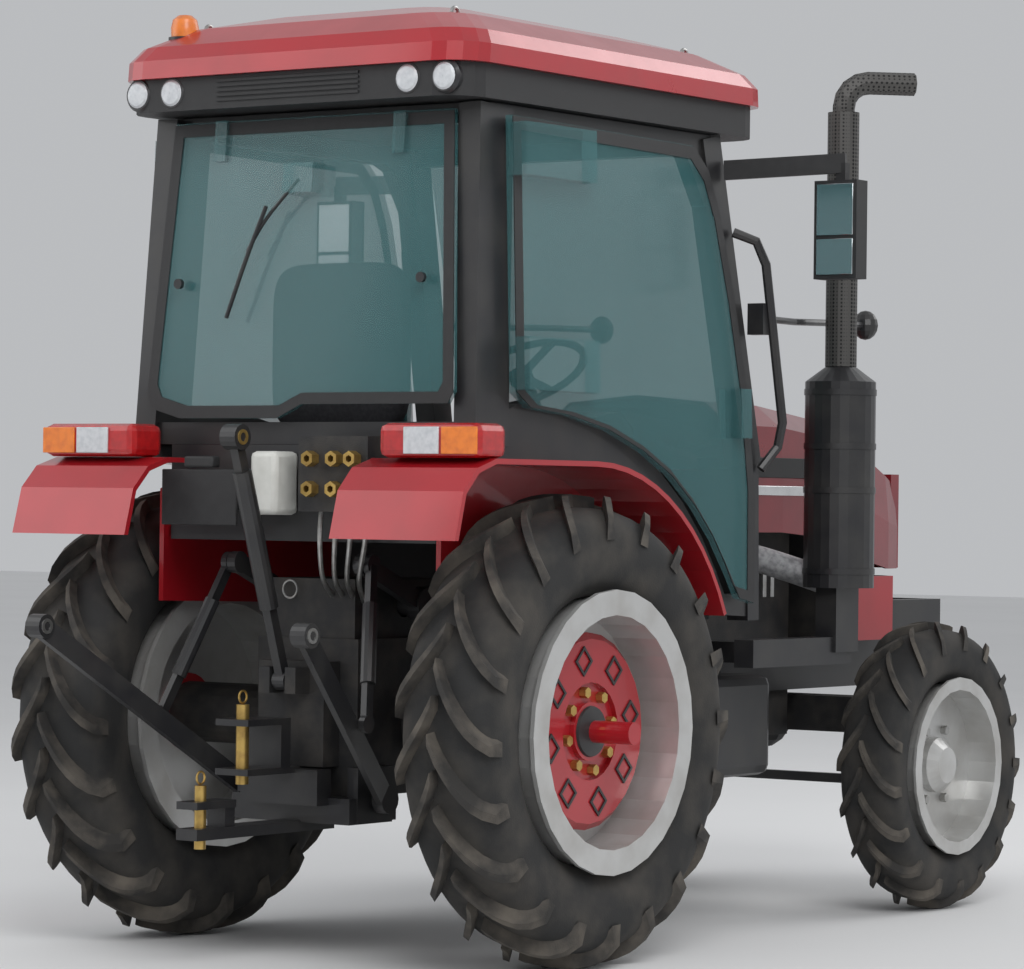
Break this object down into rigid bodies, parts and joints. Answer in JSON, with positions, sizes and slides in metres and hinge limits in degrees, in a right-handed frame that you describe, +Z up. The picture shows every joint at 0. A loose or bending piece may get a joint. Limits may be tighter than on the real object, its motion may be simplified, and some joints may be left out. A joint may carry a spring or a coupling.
{
  "type": "farm tractor",
  "caption": "Compact four-wheel-drive farm tractor with a glazed cab, rear linkage, side exhaust and steered front wheels.",
  "frame": {"origin": "middle of the tractor's box on the ground, in its symmetry plane", "axes": "+X to the tractor's right, +Y forwards, +Z up"},
  "size_m": [1.92, 3.751, 2.575],
  "materials": {
    "red_paint": "gloss, clear coated red",
    "black_paint": "satin black",
    "casting": "black painted casting",
    "tyre": "dusty rubber",
    "silver": "silver rim paint",
    "glass": "tinted safety glass",
    "lamp": "red and amber lens",
    "fabric": "dark seat cover",
    "plastic": "textured black plastic"
  },
  "bodies": {
    "chassis": {"transmission": "casting", "engine_block": "casting", "radiator": "black_paint", "front_frame": "black_paint", "front_shroud": "red_paint", "front_axle_beam": "casting", "fuel_tank": "black_paint", "left_step": "black_paint", "cab_floor": "plastic", "rear_panel": "black_paint", "cab_frame": "black_paint", "windscreen": "glass", "roof_base": "plastic", "roof_shell": "red_paint", "seat_cushion": "fabric", "seat_backrest": "fabric", "dashboard": "plastic", "fender_right": "red_paint", "fender_left": "red_paint", "tail_lamp_right": "lamp", "tail_lamp_left": "lamp", "mirror_right": "plastic", "mirror_left": "plastic", "grab_handle_right": "black_paint", "grab_handle_left": "black_paint", "muffler": "black_paint", "exhaust_stack": "black_paint", "muffler_bracket": "black_paint", "hitch_frame": "black_paint", "valve_block": "casting"},
    "rear_wheel_right": {"rear_tyre_right": "tyre", "rear_rim_right": "silver", "rear_weight_right": "red_paint"},
    "rear_wheel_left": {"rear_tyre_left": "tyre", "rear_rim_left": "silver", "rear_weight_left": "red_paint"},
    "knuckle_right": {"knuckle_right": "casting"},
    "knuckle_left": {"knuckle_left": "casting"},
    "tie_rod": {"tie_rod": "black_paint"},
    "front_wheel_right": {"front_tyre_right": "tyre", "front_rim_right": "silver"},
    "front_wheel_left": {"front_tyre_left": "tyre", "front_rim_left": "silver"},
    "steering_wheel": {"steering_wheel": "plastic"},
    "hitch_lift": {"lift_arms": "black_paint"},
    "lower_link_right": {"lower_link_right": "black_paint"},
    "lift_rod_right": {"lift_rod_right": "black_paint"},
    "lower_link_left": {"lower_link_left": "black_paint"},
    "lift_rod_left": {"lift_rod_left": "black_paint"},
    "top_link": {"top_link": "black_paint"},
    "door_right": {"door_right": "glass"},
    "door_left": {"door_left": "glass"},
    "rear_window": {"rear_window": "glass"},
    "hood": {"hood": "red_paint"}
  },
  "joints": [
    {"name": "rear_wheel_spin_right", "type": "hinge", "parent": "chassis", "child": "rear_wheel_right", "pos_m": [0.656, -0.9845, 0.628], "axis": [1, 0, 0], "continuous": true},
    {"name": "rear_wheel_spin_left", "type": "hinge", "parent": "chassis", "child": "rear_wheel_left", "pos_m": [-0.656, -0.9845, 0.628], "axis": [1, 0, 0], "continuous": true},
    {"name": "steering", "type": "hinge", "parent": "chassis", "child": "knuckle_right", "pos_m": [0.48, 1.0655, 0.44], "axis": [0, 0, 1], "range_deg": [-38, 38]},
    {"name": "steering_left", "type": "hinge", "parent": "chassis", "child": "knuckle_left", "pos_m": [-0.48, 1.0655, 0.44], "axis": [0, 0, 1], "range_deg": [-39, 39]},
    {"name": "tie_rod_pin", "type": "hinge", "parent": "knuckle_left", "child": "tie_rod", "pos_m": [-0.48, 0.9055, 0.381], "axis": [0, 0, 1], "range_deg": [-39, 39]},
    {"name": "front_wheel_spin_right", "type": "hinge", "parent": "knuckle_right", "child": "front_wheel_right", "pos_m": [0.61, 1.0655, 0.44], "axis": [1, 0, 0], "continuous": true},
    {"name": "front_wheel_spin_left", "type": "hinge", "parent": "knuckle_left", "child": "front_wheel_left", "pos_m": [-0.61, 1.0655, 0.44], "axis": [1, 0, 0], "continuous": true},
    {"name": "steering_wheel_turn", "type": "hinge", "parent": "chassis", "child": "steering_wheel", "pos_m": [0, -0.2845, 1.6], "axis": [0, -0.5299, 0.848], "range_deg": [-461, 461]},
    {"name": "hitch_lift", "type": "hinge", "parent": "chassis", "child": "hitch_lift", "pos_m": [0, -1.0345, 0.95], "axis": [1, 0, 0], "range_deg": [0, 55]},
    {"name": "lower_link_lift_right", "type": "hinge", "parent": "chassis", "child": "lower_link_right", "pos_m": [0.231, -1.2185, 0.435], "axis": [1, 0, 0], "range_deg": [-1, 44.11]},
    {"name": "lift_rod_swing_right", "type": "hinge", "parent": "hitch_lift", "child": "lift_rod_right", "pos_m": [0.242, -1.3045, 1.06], "axis": [1, 0, 0], "range_deg": [-71.15, 1]},
    {"name": "lower_link_lift_left", "type": "hinge", "parent": "chassis", "child": "lower_link_left", "pos_m": [-0.231, -1.2185, 0.435], "axis": [1, 0, 0], "range_deg": [-1, 44.11]},
    {"name": "lift_rod_swing_left", "type": "hinge", "parent": "hitch_lift", "child": "lift_rod_left", "pos_m": [-0.242, -1.3045, 1.06], "axis": [1, 0, 0], "range_deg": [-71.15, 1]},
    {"name": "top_link_swing", "type": "hinge", "parent": "chassis", "child": "top_link", "pos_m": [0, -1.3695, 0.749], "axis": [1, 0, 0], "range_deg": [0, 70]},
    {"name": "door_swing_right", "type": "hinge", "parent": "chassis", "child": "door_right", "pos_m": [0.635, -1.1995, 1.4], "axis": [0.0314, 0, -0.9995], "range_deg": [0, 75]},
    {"name": "door_swing_left", "type": "hinge", "parent": "chassis", "child": "door_left", "pos_m": [-0.635, -1.1995, 1.4], "axis": [0.0314, 0, 0.9995], "range_deg": [0, 75]},
    {"name": "rear_window_lift", "type": "hinge", "parent": "chassis", "child": "rear_window", "pos_m": [0, -1.2665, 2.272], "axis": [-1, 0, 0], "range_deg": [0, 40]},
    {"name": "hood_lift", "type": "hinge", "parent": "chassis", "child": "hood", "pos_m": [0, 0.3505, 1.5], "axis": [1, 0, 0], "range_deg": [0, 45]}
  ],
  "couplings": [
    {"joint": "steering_left", "follows": "steering", "ratio": 1},
    {"joint": "tie_rod_pin", "follows": "steering", "ratio": -1},
    {"joint": "steering_wheel_turn", "follows": "steering", "ratio": 12},
    {"joint": "lower_link_lift_right", "follows": "hitch_lift", "ratio": 0.7839},
    {"joint": "lift_rod_swing_right", "follows": "hitch_lift", "ratio": -1.2755},
    {"joint": "lower_link_lift_left", "follows": "hitch_lift", "ratio": 0.7839},
    {"joint": "lift_rod_swing_left", "follows": "hitch_lift", "ratio": -1.2755}
  ]
}
